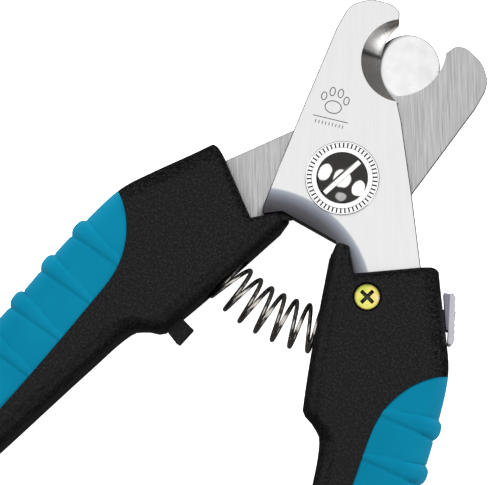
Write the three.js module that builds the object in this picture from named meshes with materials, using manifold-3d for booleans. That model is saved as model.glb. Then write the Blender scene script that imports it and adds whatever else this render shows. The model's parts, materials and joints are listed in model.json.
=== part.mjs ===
// Plier-style nail clipper for pets, lying flat and open. Millimetres, +Z up, blades towards +Y.
// While it is built, the origin is the pivot's axis at the table. Each half turned about Y gives the other.
import * as THREE from "three";
import { mergeVertices } from "three/addons/utils/BufferGeometryUtils.js";
import Module from "manifold-3d";

const wasm = await Module();
wasm.setup();

// ---- Driving dimensions ----
const OPEN_HALF = THREE.MathUtils.degToRad(19.5); // each handle's angle from the closed line
const DEPTH = 15; // handle, back face to front face
const PARTING = DEPTH / 2; // plane between the two shells and between the two blades
const FACE_GAP = 0.05; // each side of the parting plane
const BLADE = { near: 0.1, thick: 3 }; // distance from the parting plane, plate thickness
const WALL = 0.3; // inner wall of a handle, from the closed line
const TAIL = 122; // pivot to the handle's end
const EDGE = 3.5; // rounding of the handle's long edges
const SKIN = 2.2; // thickness of the rubber
const FIT = 0.2; // clearance round a part that is held still
const PIVOT = { shaft: 2.5, bore: 2.58, head: 4.6, washer: 6.6, teeth: 50 };
const NOTCH = { x: 3.4, y: 25.8, r: 8.9 }; // cutting arc, at the blades' meeting plane
const HOLLOW = { x: -1.0, y: 23.8, r: 7.5 }; // ground arc, at the blade's outer face
const STOP = { x: -0.4, y: 23.8, r: 5.7, z0: 3.1, z1: 4.25 };
const SPRING = { arc: 27.4, coil: 4.1, wire: 0.4, turns: 9, depth: 3.9, phase: -0.43 };
const SCREW = { u: 8.1, v: -20.3, head: 2.3, shaft: 1.25 };
const TAIL_SCREW = { u: 9.5, v: -111 };
const PIN = { u: 12.5, v: -29.5, r: 1.5 };
const RIB = { first: 41.2, pitch: 8.3, count: 8, height: 0.75, width: 3.4 };
const LOCK = { travel: 2.6, lean: 0.65 }; // along the handle, and outwards with its edge

// ---- Solids ----
function solid(geometry) {
  const g = geometry.index ? geometry.toNonIndexed() : geometry;
  const bare = new THREE.BufferGeometry().setAttribute("position", g.getAttribute("position"));
  const merged = mergeVertices(bare, 1e-4);
  const mesh = new wasm.Mesh({
    numProp: 3,
    vertProperties: merged.attributes.position.array,
    triVerts: new Uint32Array(merged.index.array),
  });
  return new wasm.Manifold(mesh);
}
function geometryOf(manifold) {
  const m = manifold.getMesh();
  const positions = new Float32Array(m.numVert * 3);
  for (let i = 0; i < m.numVert; i++)
    positions.set(m.vertProperties.subarray(i * m.numProp, i * m.numProp + 3), i * 3);
  const g = new THREE.BufferGeometry()
    .setAttribute("position", new THREE.BufferAttribute(positions, 3))
    .setIndex(new THREE.BufferAttribute(new Uint32Array(m.triVerts), 1));
  g.computeVertexNormals();
  return g;
}
const join = (first, ...rest) => rest.reduce((a, b) => a.add(b), first);
const cut = (first, ...rest) => rest.reduce((a, b) => a.subtract(b), first);

// ---- Outlines ----
// A polygon of [x, y, radius]: each corner with a radius becomes a tangent arc.
function rounded(points) {
  const out = [];
  points.forEach(([x, y, r = 0], i) => {
    const p = new THREE.Vector2(x, y);
    if (!r) return out.push(p);
    const before = new THREE.Vector2(...points.at(i - 1).slice(0, 2)).sub(p).normalize();
    const after = new THREE.Vector2(...points[(i + 1) % points.length].slice(0, 2)).sub(p).normalize();
    const half = Math.acos(THREE.MathUtils.clamp(before.dot(after), -1, 1)) / 2;
    const centre = before.clone().add(after).normalize().multiplyScalar(r / Math.sin(half)).add(p);
    const start = before.clone().multiplyScalar(r / Math.tan(half)).add(p).sub(centre);
    const turn = (Math.PI - 2 * half) * (before.cross(after) > 0 ? -1 : 1);
    const steps = Math.max(2, Math.ceil(Math.abs(turn) / 0.35));
    for (let k = 0; k <= steps; k++)
      out.push(start.clone().rotateAround(new THREE.Vector2(), (turn * k) / steps).add(centre));
  });
  return out;
}
function prism(points, z0, z1) {
  const shape = new THREE.Shape(rounded(points));
  const g = new THREE.ExtrudeGeometry(shape, { depth: z1 - z0, bevelEnabled: false });
  return solid(g.translate(0, 0, z0));
}
function cylinder(r, z0, z1, x = 0, y = 0, sides = 40, top = r) {
  const g = new THREE.CylinderGeometry(top, r, z1 - z0, sides).rotateX(Math.PI / 2);
  return solid(g.translate(x, y, (z0 + z1) / 2));
}
function box(u0, u1, v0, v1, z0, z1) {
  const g = new THREE.BoxGeometry(u1 - u0, v1 - v0, z1 - z0);
  return solid(g.translate((u0 + u1) / 2, (v0 + v1) / 2, (z0 + z1) / 2));
}
// Spins a profile of [r, z], from the axis up the outside and back to the axis, about Z.
function turned(profile, sides) {
  const line = profile.map(([r, z]) => new THREE.Vector2(r, z));
  return solid(new THREE.LatheGeometry(line, sides).rotateX(Math.PI / 2));
}
// Skins equal convex rings, each a list of [x, y, z], and closes both ends with fans.
function loft(rings) {
  const n = rings[0].length;
  const middle = (ring) => [0, 1, 2].map((k) => ring.reduce((s, p) => s + p[k], 0) / n);
  const corners = [];
  const face = (a, b, c) => corners.push(...a, ...b, ...c);
  rings.slice(1).forEach((next, j) => {
    const ring = rings[j];
    for (let i = 0; i < n; i++) {
      const k = (i + 1) % n;
      face(ring[i], next[i], next[k]);
      face(ring[i], next[k], ring[k]);
    }
  });
  const first = rings[0];
  const last = rings.at(-1);
  for (let i = 0; i < n; i++) {
    const k = (i + 1) % n;
    face(middle(first), first[i], first[k]);
    face(middle(last), last[k], last[i]);
  }
  const g = new THREE.BufferGeometry();
  g.setAttribute("position", new THREE.BufferAttribute(new Float32Array(corners), 3));
  const made = solid(g);
  // Rings listed the other way round give a solid facing in: list them the other way.
  return made.volume() > 0 ? made : loft(rings.map((list) => list.toReversed()));
}
// Closed frame to open: a handle is drawn with its inner wall on the closed line, then swung out.
const swung = (m) => m.rotate([0, 0, THREE.MathUtils.radToDeg(OPEN_HALF)]);
function swungPoint([u, v, ...rest]) {
  const p = new THREE.Vector2(u, v).rotateAround(new THREE.Vector2(), OPEN_HALF);
  return [p.x, p.y, ...rest];
}
// The other half: half a turn about the Y axis at the parting plane.
const other = (m) => m.rotate([0, 180, 0]).translate([0, 0, DEPTH]);

// ---- Handle section along its length; s is the distance behind the pivot ----
function along(knots, s) {
  if (s <= knots[0][0]) return knots[0][1];
  for (let i = 1; i < knots.length; i++) {
    const [s1, w1] = knots[i];
    if (s > s1) continue;
    const [s0, w0] = knots[i - 1];
    const slope = (a, b) => (b && a ? (b[1] - a[1]) / (b[0] - a[0]) : 0);
    const m0 = slope(knots[i - 2], knots[i]) * (s1 - s0);
    const m1 = slope(knots[i - 1], knots[i + 1]) * (s1 - s0);
    const t = (s - s0) / (s1 - s0);
    const h = t * t * (3 - 2 * t);
    return w0 * (1 - h) + w1 * h + m0 * t * (1 - t) ** 2 - m1 * t * t * (1 - t);
  }
  return knots.at(-1)[1];
}
const OUTER = [
  [8, 18.5], [14, 19.9], [19, 21.3], [24, 22.8], [31, 24.5], [39, 24.3], [47, 23.5], [55, 22.2],
  [63, 21.1], [80, 20], [100, 19.3], [122, 18.6],
];
const INNER = [[8, WALL], [42.2, WALL], [44, 2.2], [46.5, 3.9], [56, 3.9], [80, 3.2], [122, 2.4]];
const ROUND_TAIL = 13; // length of the rounded end
function section(s, grow = 0, ribs = false) {
  const end = Math.max(0, s - (TAIL + grow - ROUND_TAIL)) / ROUND_TAIL;
  const shrink = Math.sqrt(Math.max(0, 1 - end * end));
  let low = along(INNER, s) - grow;
  let high = along(OUTER, s) + grow;
  if (ribs) {
    const nearest = Math.round((s - RIB.first) / RIB.pitch);
    const off = (s - RIB.first - nearest * RIB.pitch) / RIB.width;
    if (nearest >= 0 && nearest < RIB.count && Math.abs(off) < 0.5)
      high += RIB.height * Math.cos(Math.PI * off) ** 2;
  }
  const middle = (low + high) / 2;
  return [middle + (low - middle) * shrink, middle + (high - middle) * shrink, shrink];
}
// Stations along the handle, three times closer where its end is rounded.
function stations(from, to, step) {
  const list = [];
  for (let s = from; s < to - 0.1; s += s > TAIL - ROUND_TAIL - step ? step / 3 : step) list.push(s);
  return [...list, to];
}
function handleLoft(from, to, step, { grow = 0, ribs = false, low = null, edge = EDGE } = {}) {
  const rings = [];
  for (const s of stations(from, to, step)) {
    let [u0, u1, shrink] = section(s, grow, ribs);
    if (low !== null) u0 = Math.min(low, u1 - 1);
    const half = (PARTING + grow) * Math.max(0.35, shrink ** 0.35);
    const r = Math.min(edge, (u1 - u0) * 0.45, half * 0.9);
    const ring = [];
    for (const [cu, cz, start] of [
      [u1 - r, half - r, 0], [u0 + r, half - r, 1], [u0 + r, r - half, 2], [u1 - r, r - half, 3],
    ])
      for (let k = 0; k <= 4; k++) {
        const a = ((start + k / 4) * Math.PI) / 2;
        ring.push([cu + r * Math.cos(a), -s, PARTING + cz + r * Math.sin(a)]);
      }
    rings.push(ring);
  }
  return loft(rings);
}

// ---- Rubber zone: everything outside this curve, seen from the front ----
const GRIP_CURVE = new THREE.SplineCurve(
  [
    [31, -31.2], [25, -31.5], [20.4, -33.1], [16.2, -36.7], [13.4, -41.8], [11.8, -50], [9.6, -64],
    [8.1, -76], [7.4, -88], [8.6, -97], [12.2, -103.5], [17, -106], [31, -106.6],
  ].map(([u, v]) => new THREE.Vector2(u, v)),
);
function gripZone(gap) {
  const steps = 44;
  const points = [];
  for (let i = 0; i <= steps; i++) {
    const t = GRIP_CURVE.getTangentAt(i / steps);
    const p = GRIP_CURVE.getPointAt(i / steps);
    points.push([p.x + t.y * gap, p.y - t.x * gap]);
  }
  return prism(points, -5, DEPTH + 5);
}

// ---- Blade, in the open pose; the other one is the same, turned over ----
const TANG = [[16.4, -21], [19.5, -27], [19.5, -31.5, 1], [9.5, -31.5, 1], [7.5, -22.5], [3.4, -20]];
const BLADE_OUTLINE = [
  [-9.4, -12.6, 0.5], [-6.4, -10.4], [4.4, -10.4],
  ...[[2.6, -14.5], ...TANG.toReversed(), [16.5, -13.3]].map(swungPoint),
  [12.3, 3.4], [4.2, 14], [1.9, 16.6], [1.9, 18], [-4.3, 28], [-5.9, 31.1, 0.3],
  [-8.8, 31.4, 2.5], [-14.4, 28.2, 2.2], [-14.2, 23.2, 8], [-12.4, 7.6], [-11, -3.3], [-9.9, -11],
];
const bladeZ = [PARTING + BLADE.near, PARTING + BLADE.near + BLADE.thick];
function ring(circle, z, sides = 72) {
  return [...Array(sides).keys()].map((i) => {
    const a = (2 * Math.PI * i) / sides;
    return [circle.x + circle.r * Math.cos(a), circle.y + circle.r * Math.sin(a), z];
  });
}
function makeBlade() {
  const [z0, z1] = bladeZ;
  const land = z0 + 0.35; // flat strip behind the cutting edge
  // The ground hollow falls from the land to the outer face along a curve.
  const between = (t) => {
    const mix = (a, b) => a + (b - a) * t;
    return { x: mix(NOTCH.x, HOLLOW.x), y: mix(NOTCH.y, HOLLOW.y), r: mix(NOTCH.r, HOLLOW.r) };
  };
  const hollow = loft([
    ring(NOTCH, land), ring(between(0.5), land + 0.8), ring(between(0.8), land + 1.7),
    ring(HOLLOW, z1), ring(HOLLOW, z1 + 1),
  ]);
  return cut(
    prism(BLADE_OUTLINE, z0, z1),
    cylinder(NOTCH.r, z0 - 1, z1 + 1, NOTCH.x, NOTCH.y, 72),
    hollow,
    cylinder(PIVOT.bore, z0 - 1, z1 + 1, 0, 0, 64),
    swung(cylinder(SCREW.shaft + 0.35, z0 - 1, z1 + 1, SCREW.u, SCREW.v)),
    swung(cylinder(PIN.r + 0.1, z0 - 1, z1 + 1, PIN.u, PIN.v)),
  );
}

// ---- Handle body, in the closed frame, before it is parted ----
const NOSE_FRONT = [[1.0, -11.4, 0.6], [3.4, -11.7, 0.5], [5.1, -16.5, 0.3]];
const NOSE_BACK = [[-0.6, -13.6, 0.5], [2.6, -12.6, 0.8], [5.2, -17, 0.3]];
function head(nose, z0, z1) {
  const [tip, ...rest] = nose;
  const corner = [[16.6, -13.4, 3], [19.7, -12.8, 1.2], [23.5, -22], [30, -26], [30, -130], [-5, -130]];
  return prism([[-5, tip[1] - 4], tip, ...rest, ...corner], z0, z1);
}
const springPocket = (() => {
  const g = new THREE.CylinderGeometry(5, 5, 7.6, 40).rotateZ(Math.PI / 2);
  return solid(g.translate(1.8, -SPRING.arc, PARTING));
})();
function makeHandle() {
  const blank = handleLoft(8, TAIL - 0.15, 3);
  const core = handleLoft(20, TAIL - 6, 4, { grow: -SKIN - FIT, edge: 2, low: 5 });
  const room = handleLoft(49, 102, 6, { grow: -4.4, edge: 1.5 });
  const boss = cylinder(3.2, 3, 12, TAIL_SCREW.u, TAIL_SCREW.v);
  let body = join(cut(blank, gripZone(FIT)), core);
  body = join(cut(body, room), boss);
  return cut(body, springPocket);
}
const handle = makeHandle();
const pocket = (radius, z0, z1, { u, v }) => cylinder(radius, z0, z1, u, v);
const frontShell = () =>
  cut(
    handle.intersect(head(NOSE_FRONT, PARTING + FACE_GAP, DEPTH + 1)),
    // Blade seat, reached from the parting plane.
    prism(BLADE_SEAT, PARTING - 1, bladeZ[1] + 0.1),
    pocket(SCREW.shaft + 0.3, 5, DEPTH, SCREW),
    pocket(SCREW.head + 0.3, DEPTH - 1.9, DEPTH + 1, SCREW),
    pocket(PIN.r + 0.1, 5, 12.3, PIN),
    pocket(SCREW.shaft + 0.3, 5, DEPTH, TAIL_SCREW),
    pocket(SCREW.head + 0.3, DEPTH - 1.9, DEPTH + 1, TAIL_SCREW),
  );
const BLADE_SEAT = [
  [-4, -9], [-4, -14.4], [2.4, -14.7], [3.1, -20.2], [7.2, -22.8], [9.2, -31.8], [19.8, -31.8],
  [19.8, -26.9], [16.9, -20.8], [17.1, -13.1], [17.1, -9],
];
const rearShell = () =>
  cut(
    handle.intersect(head(NOSE_BACK, -1, PARTING - FACE_GAP)),
    pocket(SCREW.shaft + 0.1, 2.6, 9, SCREW),
    pocket(PIN.r + 0.1, 3.7, 9, PIN),
    pocket(SCREW.shaft + 0.1, 2.6, 9, TAIL_SCREW),
  );
const makeGrip = () =>
  cut(
    handleLoft(28, TAIL - 3, 1.3, { ribs: true, low: 6 }).intersect(gripZone(0)),
    handleLoft(20, TAIL - 6, 4, { grow: -SKIN, edge: 2, low: 3 }),
  );

// ---- Screws and small parts, in the closed frame ----
function screw({ u, v }, tip) {
  const top = DEPTH - 0.25;
  const body = join(
    cylinder(SCREW.head, top - 1.4, top, 0, 0, 36, SCREW.head * 0.93),
    cylinder(SCREW.shaft, tip, top - 1, 0, 0, 28),
  );
  const arm = box(-1.35, 1.35, -0.3, 0.3, top - 0.9, top + 1);
  return cut(body, arm.rotate([0, 0, 55]), arm.rotate([0, 0, 145])).translate([u, v, 0]);
}
function springSeat() {
  const disc = new THREE.CylinderGeometry(4.6, 4.6, 0.7, 40).rotateZ(Math.PI / 2);
  const stub = new THREE.CylinderGeometry(2.6, 3, 2, 32).rotateZ(Math.PI / 2);
  return join(solid(disc.translate(5.15, 0, 0)), solid(stub.translate(3.9, 0, 0))).translate([
    0, -SPRING.arc, PARTING,
  ]);
}

// ---- Return spring: a coil whose centre line is an arc round the pivot ----
class ArcCoil extends THREE.Curve {
  getPoint(t, target = new THREE.Vector3()) {
    const reach = OPEN_HALF + SPRING.depth / SPRING.arc;
    const swing = reach * (2 * t - 1);
    const turn = 2 * Math.PI * (SPRING.turns * t + SPRING.phase);
    const radius = SPRING.arc + SPRING.coil * Math.cos(turn);
    return target.set(
      radius * Math.sin(swing),
      -radius * Math.cos(swing),
      PARTING + SPRING.coil * Math.sin(turn),
    );
  }
}
function makeSpring() {
  const steps = SPRING.turns * 18;
  const path = new ArcCoil();
  const rings = [];
  for (let i = 0; i <= steps; i++) {
    const t = i / steps;
    const p = path.getPoint(t);
    const along = path.getPoint(t + 1e-4).sub(path.getPoint(t - 1e-4)).normalize();
    const swing = (OPEN_HALF + SPRING.depth / SPRING.arc) * (2 * t - 1);
    const centre = new THREE.Vector3(Math.sin(swing), -Math.cos(swing), 0).multiplyScalar(SPRING.arc);
    const out = p.clone().sub(centre.setZ(PARTING)).normalize();
    const side = new THREE.Vector3().crossVectors(along, out).normalize();
    rings.push(
      [...Array(8).keys()].map((k) => {
        const a = (-2 * Math.PI * k) / 8;
        return p
          .clone()
          .addScaledVector(out, SPRING.wire * Math.cos(a))
          .addScaledVector(side, SPRING.wire * Math.sin(a))
          .toArray();
      }),
    );
  }
  return loft(rings);
}

// ---- Slide lock and catch, in the closed frame of the right handle ----
const BAR = { z0: 4.8, z1: 7.2 };
function makeSlider() {
  const pad = prism(
    [[23.6, -16.7, 0.8], [25.2, -25.6, 0.9], [23.8, -25.9, 0.4], [22.3, -16.9, 0.4]].toReversed(),
    3, 12,
  );
  let made = join(
    pad,
    box(16.7, 24, -22.3, -19.7, BAR.z0, BAR.z1),
    box(16.7, 19.3, -34.6, -19.7, BAR.z0, BAR.z1),
    box(0.4, 19.3, -34.6, -33.2, BAR.z0, BAR.z1),
    box(0.4, 0.95, -36.9, -33.2, BAR.z0, BAR.z1),
  );
  for (let k = 0; k < 7; k++) {
    const groove = cylinder(0.42, 2, 13, 24.05 + 0.19 * k, -17.9 - 1.12 * k, 12);
    made = made.subtract(groove);
  }
  return made;
}
const sliderRoom = () =>
  join(
    box(15, 27, -22.6 - LOCK.travel, -19.4, BAR.z0 - FIT, PARTING + 1),
    box(16.4, 21.3, -35 - LOCK.travel, -19.4, BAR.z0 - FIT, PARTING + 1),
    box(-1, 21.3, -35 - LOCK.travel, -32.9, BAR.z0 - FIT, PARTING + 1),
    box(-1, 1.3 + LOCK.lean, -37.2 - LOCK.travel, -32.9, BAR.z0 - FIT, PARTING + 1),
  );
const catchRoom = () => box(-1, 3.9, -42.1, -37.2, 4.6, 10.2);
function makeCatch() {
  // Drawn as it stands in the right handle when closed; the left handle carries it.
  const block = prism([[-4.2, -38.1], [-4.2, -41.2], [3.2, -41.6, 0.3], [2.75, -37.7, 0.3]], 5, 9.8);
  return cut(block, box(-0.7, 2, -39.9, -37, 4, PARTING));
}
// Seat for the catch, in the left half before it is turned over.
const leftSeat = () => box(0, 4.5, -41.5, -37.8, DEPTH - 10.1, DEPTH - 4.7);
function makeLeaf() {
  const bump = [[20.5, -25.6], [20.5, -27.6], [20.1, -28.6], [20.5, -29.6], [20.5, -31.8]];
  const back = bump.map(([u, v]) => [u + 0.3, v]).toReversed();
  return prism([...bump, ...back].toReversed(), BAR.z0 + 0.2, BAR.z1 - 0.2);
}

// ---- Pivot stack ----
function makePivotScrew() {
  const base = 11.8;
  const rise = 1.9;
  const sphere = (PIVOT.head ** 2 + rise ** 2) / (2 * rise);
  const dome = [];
  for (let k = 0; k <= 8; k++) {
    const a = (Math.asin(PIVOT.head / sphere) * (8 - k)) / 8;
    dome.push([sphere * Math.sin(a), base + 0.3 + rise - sphere * (1 - Math.cos(a))]);
  }
  const body = turned([[0, 0.7], [PIVOT.shaft, 0.7], [PIVOT.shaft, base], [PIVOT.head, base], ...dome], 64);
  const slot = box(-6, 6, -0.45, 0.45, base + 1, base + 4);
  return cut(body, slot.rotate([0, 0, 71]));
}
function makeWasher() {
  const rim = [];
  for (let i = 0; i < PIVOT.teeth; i++)
    for (const [part, r] of [[0, PIVOT.washer], [0.5, PIVOT.washer - 0.3]]) {
      const a = (2 * Math.PI * (i + part)) / PIVOT.teeth;
      rim.push([r * Math.cos(a), r * Math.sin(a)]);
    }
  return cut(prism(rim, 10.7, 11.7), cylinder(PIVOT.bore, 10, 12, 0, 0, 64));
}
function makeStop() {
  const { x, y, r, z0, z1 } = STOP;
  const arm = prism([[-2.6, 0], [2.6, 0], [x + 2.6, y], [x - 2.6, y]], z0, z1);
  const plate = join(cylinder(r, z0, z1, x, y, 72), cylinder(4.8, z0, z1, 0, 0, 48), arm);
  return cut(plate, cylinder(PIVOT.bore, z0 - 1, z1 + 1, 0, 0, 64));
}
function washer(inner, outer, z0, z1, sides) {
  return cut(cylinder(outer, z0, z1, 0, 0, sides), cylinder(inner, z0 - 1, z1 + 1, 0, 0, 64));
}

// ---- Assembly ----
const whole = new THREE.Group();
whole.name = "nail_clipper";
function add(name, manifold, color, metalness, roughness) {
  const material = new THREE.MeshStandardMaterial({ color, metalness, roughness, name });
  const mesh = new THREE.Mesh(geometryOf(manifold), material);
  mesh.name = name;
  whole.add(mesh);
}
const steel = [0xd8dade, 1, 0.3];
const black = [0x16171a, 0, 0.55];
const teal = [0x0a8ab0, 0, 0.6];
const yellow = [0xc9a23c, 1, 0.3];

const blade = makeBlade();
const rightFront = cut(frontShell(), catchRoom());
const rightRear = cut(rearShell(), sliderRoom(), catchRoom());
add("front_blade", blade, ...steel);
add("rear_blade", other(blade), ...steel);
add("pivot_screw", makePivotScrew(), 0xe4e6ea, 1, 0.15);
add("pivot_washer", makeWasher(), ...steel);
add("pivot_nut", washer(PIVOT.bore, 4.4, 0.4, 2.3, 6), ...steel);
add("friction_washer", washer(PIVOT.bore, 5, 2.4, 3, 48), ...steel);
add("safety_stop", makeStop(), 0xe4e6ea, 1, 0.15);
add("right_front_shell", swung(rightFront), ...black);
add("right_rear_shell", swung(rightRear), ...black);
add("right_grip", swung(makeGrip()), ...teal);
add("left_front_shell", other(swung(cut(rearShell(), leftSeat()))), ...black);
add("left_rear_shell", other(swung(cut(frontShell(), leftSeat()))), ...black);
add("left_grip", other(swung(makeGrip())), ...teal);
add("right_head_screw", swung(screw(SCREW, 3)), ...yellow);
add("left_head_screw", other(swung(screw(SCREW, 3))), ...yellow);
add("right_tail_screw", swung(screw(TAIL_SCREW, 3)), ...yellow);
add("left_tail_screw", other(swung(screw(TAIL_SCREW, 3))), ...yellow);
add("right_tang_pin", swung(cylinder(PIN.r, 4, 12, PIN.u, PIN.v)), ...steel);
add("left_tang_pin", other(swung(cylinder(PIN.r, 4, 12, PIN.u, PIN.v))), ...steel);
add("right_spring_seat", swung(springSeat()), 0x2a2b2e, 0, 0.5);
add("left_spring_seat", other(swung(springSeat())), 0x2a2b2e, 0, 0.5);
add("return_spring", makeSpring(), 0x8a8886, 1, 0.35);
add("lock_slider", swung(makeSlider()), 0xc4c2c8, 0, 0.5);
add("lock_detent_spring", swung(makeLeaf()), ...steel);
// The catch is drawn closed; the left handle opens by the whole angle, clockwise.
const openBack = [0, 0, -THREE.MathUtils.radToDeg(OPEN_HALF)];
add("catch_block", makeCatch().rotate(openBack), 0x16171a, 0, 0.55);

const bounds = new THREE.Box3().setFromObject(whole);
const centre = bounds.getCenter(new THREE.Vector3());
whole.position.set(-centre.x, -centre.y, -bounds.min.z);
whole.updateMatrixWorld(true);
export default whole;
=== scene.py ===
"""Looks of a plier-style pet nail clipper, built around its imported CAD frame.

Shapes are drawn in millimetres with the pivot's axis as origin, as the CAD part draws them, and
go to the row frame in metres when their mesh is made. "Closed frame" is a handle with its inner
wall on the closed line: u points away from that line, v towards the blades.
"""
import json
import math

import bmesh
import bpy
from mathutils import Matrix, Vector


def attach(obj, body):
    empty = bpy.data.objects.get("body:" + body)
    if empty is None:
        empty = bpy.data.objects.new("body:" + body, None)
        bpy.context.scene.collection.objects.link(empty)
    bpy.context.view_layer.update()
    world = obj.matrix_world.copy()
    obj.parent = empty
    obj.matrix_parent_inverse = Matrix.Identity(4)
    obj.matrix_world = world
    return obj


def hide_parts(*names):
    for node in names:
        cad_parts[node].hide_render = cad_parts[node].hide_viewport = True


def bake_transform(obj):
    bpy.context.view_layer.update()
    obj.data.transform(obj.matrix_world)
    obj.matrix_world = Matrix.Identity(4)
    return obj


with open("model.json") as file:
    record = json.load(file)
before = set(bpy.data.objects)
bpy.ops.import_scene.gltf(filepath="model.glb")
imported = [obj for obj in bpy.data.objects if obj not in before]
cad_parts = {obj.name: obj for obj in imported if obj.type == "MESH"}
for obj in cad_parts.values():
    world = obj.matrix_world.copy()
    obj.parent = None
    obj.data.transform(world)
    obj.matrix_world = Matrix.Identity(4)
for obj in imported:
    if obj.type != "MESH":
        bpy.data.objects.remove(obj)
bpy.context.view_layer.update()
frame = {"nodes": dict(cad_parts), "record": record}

# ---- Driving dimensions, in millimetres; the stop and the spring differ slightly from the CAD ----
MM = 0.001
JOINTS = {j["name"]: j for j in frame["record"]["behaviour"]["joints"]}
PIVOT = Vector(JOINTS["handle_pivot"]["pos_m"][:2] + [0])
OPEN_HALF = math.radians(19.5)
DEPTH = 15.0
PARTING = DEPTH / 2
WALL = 0.3
TAIL = 122.0
EDGE = 3.5
SKIN = 2.2
NOTCH = (3.4, 25.8, 8.9)
HOLLOW = (-1.0, 23.8, 7.5)
STOP = (-0.2, 24.0, 5.9)
BLADE_Z = (PARTING + 0.1, PARTING + 3.1)
BORE = 2.6  # radius of the hole for the pivot
SPRING_ARC = 27.2
SCREW_AT = (8.1, -20.3)
TAIL_SCREW_AT = (9.5, -111.0)

# ---- From drawing to row frame ----
ROW = Matrix.Translation(PIVOT) @ Matrix.Scale(MM, 4)
SWUNG = Matrix.Rotation(OPEN_HALF, 4, "Z")
OTHER = Matrix.Translation((0, 0, DEPTH)) @ Matrix.Rotation(math.pi, 4, "Y")
RIGHT = ROW @ SWUNG
LEFT = ROW @ OTHER @ SWUNG


def new_object(name, verts, faces):
    mesh = bpy.data.meshes.new(name)
    mesh.from_pydata([tuple(v) for v in verts], [], faces)
    bm = bmesh.new()
    bm.from_mesh(mesh)
    bmesh.ops.remove_doubles(bm, verts=bm.verts, dist=1e-4)
    bmesh.ops.recalc_face_normals(bm, faces=bm.faces)
    bm.to_mesh(mesh)
    bm.free()
    obj = bpy.data.objects.new(name, mesh)
    bpy.context.scene.collection.objects.link(obj)
    return obj


def drop(obj):
    mesh = obj.data
    bpy.data.objects.remove(obj)
    bpy.data.meshes.remove(mesh)


def apply_modifiers(obj):
    graph = bpy.context.evaluated_depsgraph_get()
    old = obj.data
    obj.data = bpy.data.meshes.new_from_object(obj.evaluated_get(graph))
    obj.modifiers.clear()
    bpy.data.meshes.remove(old)


def boolean(obj, cutter, operation):
    mod = obj.modifiers.new("cut", "BOOLEAN")
    mod.operation = operation
    mod.object = cutter
    mod.solver = "MANIFOLD"
    apply_modifiers(obj)
    drop(cutter)
    return obj


def cut(obj, *cutters):
    for c in cutters:
        boolean(obj, c, "DIFFERENCE")
    return obj


def join(obj, *others):
    for o in others:
        boolean(obj, o, "UNION")
    return obj


SHARP = math.radians(30)  # edges bent more than this are drawn sharp


def finish_piece(obj, name, place, material, body):
    """Puts a drawn piece in the row frame and gives it its shading, material and body."""
    obj.data.transform(place)
    obj.name = name
    obj.data.name = name
    obj.data.materials.clear()
    obj.data.materials.append(material)
    obj.data.shade_smooth()
    obj.data.set_sharp_from_angle(angle=SHARP)
    mod = obj.modifiers.new("normals", "WEIGHTED_NORMAL")
    mod.keep_sharp = True
    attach(obj, body)
    return obj


# ---- Outlines and solids ----
def rounded(points, per_corner=8):
    """A polygon of (x, y) or (x, y, radius): each corner with a radius becomes a tangent arc."""
    out = []
    for i, point in enumerate(points):
        p = Vector(point[:2])
        r = point[2] if len(point) > 2 else 0
        if not r:
            out.append(p)
            continue
        before = (Vector(points[i - 1][:2]) - p).normalized()
        after = (Vector(points[(i + 1) % len(points)][:2]) - p).normalized()
        half = math.acos(max(-1, min(1, before.dot(after)))) / 2
        centre = p + (before + after).normalized() * (r / math.sin(half))
        start = p + before * (r / math.tan(half)) - centre
        cross = before.x * after.y - before.y * after.x
        turn = (math.pi - 2 * half) * (-1 if cross > 0 else 1)
        for k in range(per_corner + 1):
            a = turn * k / per_corner
            out.append(centre + Vector((start.x * math.cos(a) - start.y * math.sin(a),
                                        start.x * math.sin(a) + start.y * math.cos(a))))
    return out


def loft(name, rings):
    """Skins equal rings of (x, y, z) points and closes both ends with one face each."""
    n = len(rings[0])
    verts = [p for ring in rings for p in ring]
    faces = []
    for j in range(len(rings) - 1):
        for i in range(n):
            k = (i + 1) % n
            faces.append((j * n + i, j * n + k, (j + 1) * n + k, (j + 1) * n + i))
    faces.append(tuple(range(n)))
    faces.append(tuple(range((len(rings) - 1) * n, len(rings) * n)))
    return new_object(name, verts, faces)


def prism(points, z0, z1, per_corner=8):
    line = rounded(points, per_corner)
    return loft("prism", [[(p.x, p.y, z) for p in line] for z in (z0, z1)])


def circle(x, y, r, z, sides):
    steps = [2 * math.pi * i / sides for i in range(sides)]
    return [(x + r * math.cos(a), y + r * math.sin(a), z) for a in steps]


def cylinder(r, z0, z1, x=0, y=0, sides=64):
    return loft("cylinder", [circle(x, y, r, z, sides) for z in (z0, z1)])


def box(u0, u1, v0, v1, z0, z1):
    return loft("box", [[(u0, v0, z), (u1, v0, z), (u1, v1, z), (u0, v1, z)] for z in (z0, z1)])


def turned(profile, sides=96):
    """Spins a profile of (r, z) that starts and ends on the axis about Z."""
    rings = [circle(0, 0, max(r, 1e-5), z, sides) for r, z in profile]
    return loft("turned", rings)


# ---- Handle section along its length; s is the distance behind the pivot ----
def along(knots, s):
    """The value at s on a smooth curve through knots of (s, value)."""
    if s <= knots[0][0]:
        return knots[0][1]
    for i in range(1, len(knots)):
        s1, w1 = knots[i]
        if s > s1:
            continue
        s0, w0 = knots[i - 1]
        m0 = (w1 - knots[i - 2][1]) / (s1 - knots[i - 2][0]) * (s1 - s0) if i > 1 else 0
        m1 = (knots[i + 1][1] - w0) / (knots[i + 1][0] - s0) * (s1 - s0) if i + 1 < len(knots) else 0
        t = (s - s0) / (s1 - s0)
        h = t * t * (3 - 2 * t)
        return w0 * (1 - h) + w1 * h + m0 * t * (1 - t) ** 2 - m1 * t * t * (1 - t)
    return knots[-1][1]


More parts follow.
